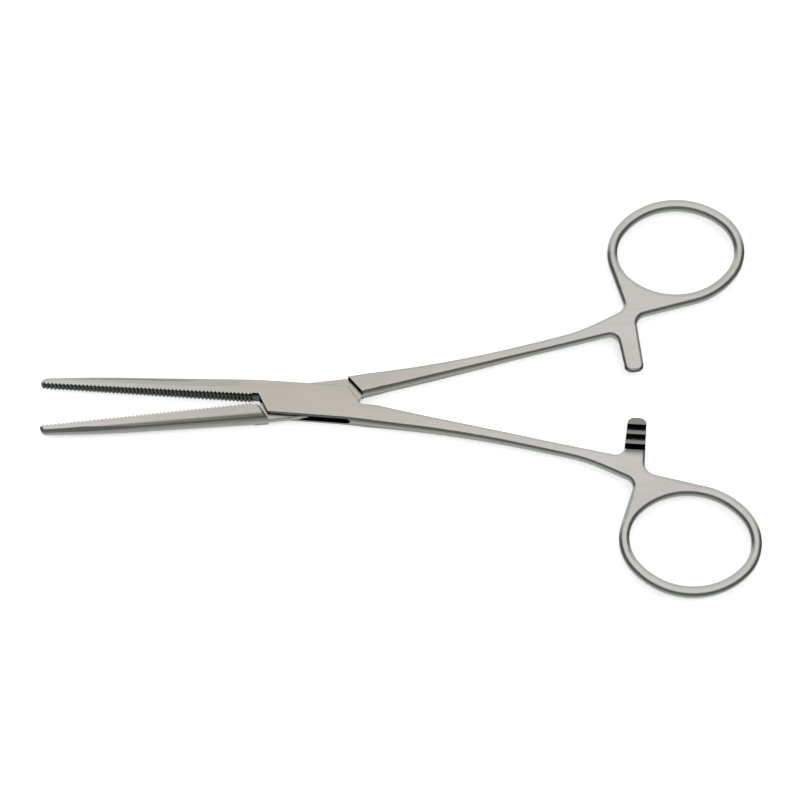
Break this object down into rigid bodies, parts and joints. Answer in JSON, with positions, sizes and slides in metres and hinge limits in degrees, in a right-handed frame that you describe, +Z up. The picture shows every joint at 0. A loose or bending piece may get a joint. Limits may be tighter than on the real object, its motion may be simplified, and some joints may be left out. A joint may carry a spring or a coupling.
{
  "type": "hemostatic forceps",
  "caption": "Straight box-lock hemostatic forceps with serrated jaws, a ratchet catch and finger rings, lying part open on its side.",
  "frame": {"origin": "on the rivet's axis, at the underside of the box lock", "axes": "+X along the instrument from the jaws to the finger rings, halfway between the two halves; +Y towards the jaw that belongs to the box half; +Z up, along the rivet's axis"},
  "size_m": [0.1581, 0.0961, 0.0046],
  "materials": {
    "satin_steel": "satin",
    "rivet_steel": "satin"
  },
  "bodies": {
    "box_side": {"female_half": "satin_steel", "pivot_rivet": "rivet_steel"},
    "tongue_side": {"male_half": "satin_steel"}
  },
  "joints": [
    {"name": "lock_hinge", "type": "hinge", "parent": "box_side", "child": "tongue_side", "pos_m": [0, 0, 0.0023], "axis": [0, 0, 1], "range_deg": [-9.76, 50]}
  ]
}
